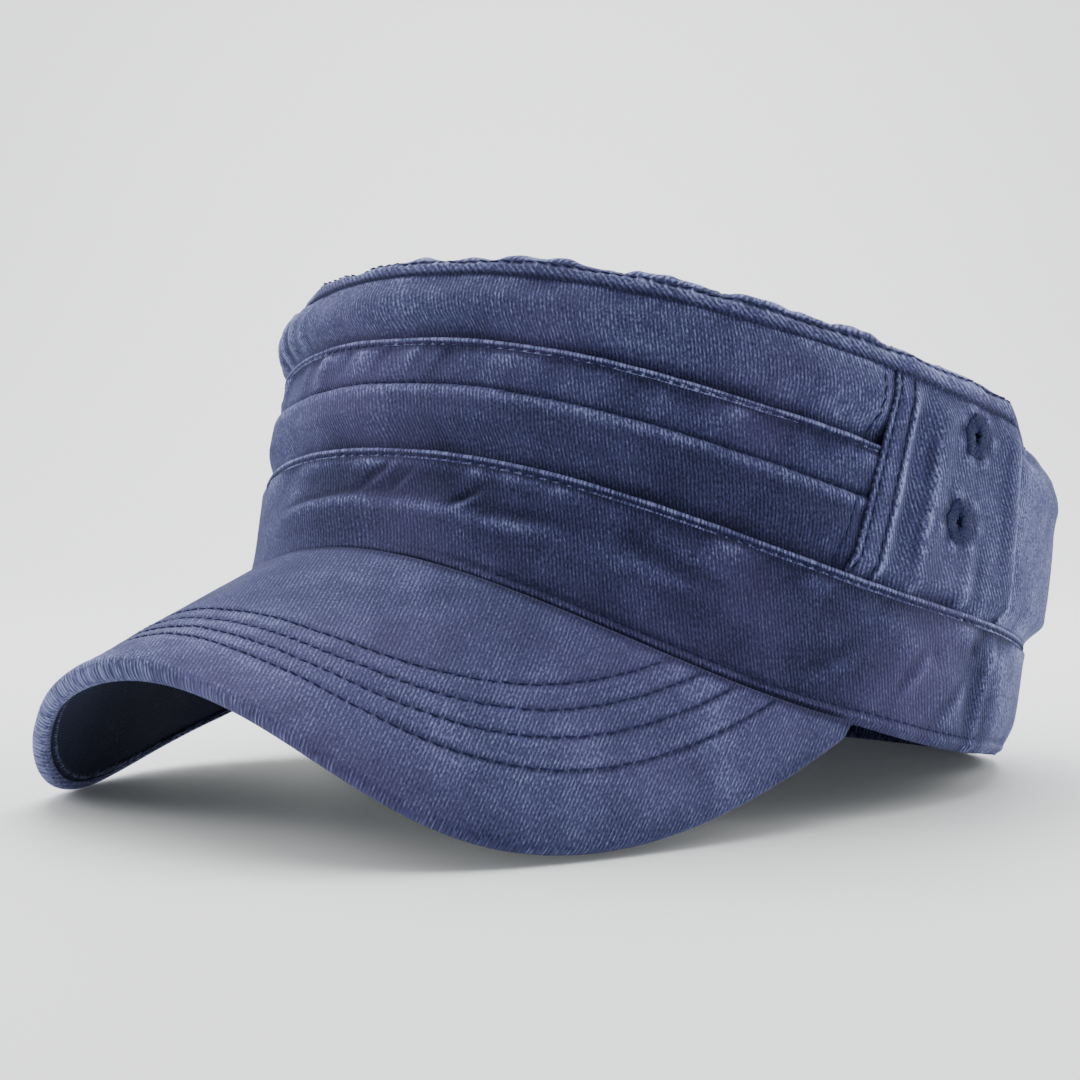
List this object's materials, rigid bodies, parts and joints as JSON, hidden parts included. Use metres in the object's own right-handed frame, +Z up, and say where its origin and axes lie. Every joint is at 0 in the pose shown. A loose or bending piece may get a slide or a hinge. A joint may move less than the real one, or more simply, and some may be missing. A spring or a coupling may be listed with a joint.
{
  "type": "military cap",
  "caption": "Soft twill military cap with a low flat-topped crown, a folded strip round the front, a band round the head, stitched vent holes in the sides and a curved peak.",
  "frame": {"origin": "on the surface that the cap rests on, under the middle of its box", "axes": "+Y towards the back of the head, the peak towards -Y, +X towards the wearer's left, +Z up"},
  "size_m": [0.179, 0.2422, 0.1157],
  "materials": {
    "twill": "washed cotton twill, blue, faded along folds and edges",
    "peak_twill": "washed cotton twill with the ribs on the slant, rows of topstitching",
    "peak_underside_twill": "plain cotton twill, darker and less worn",
    "eyelet_thread": "dense satin stitching in dark thread"
  },
  "bodies": {
    "root": {"top_panel": "twill", "front_upper_panel": "twill", "front_overlay": "twill", "side_panel_left": "twill", "side_panel_right": "twill", "back_panel": "twill", "band": "twill", "peak_top": "peak_twill", "peak_underside": "peak_underside_twill", "eyelet_left_upper": "eyelet_thread", "eyelet_left_lower": "eyelet_thread", "eyelet_right_upper": "eyelet_thread", "eyelet_right_lower": "eyelet_thread"}
  },
  "joints": []
}
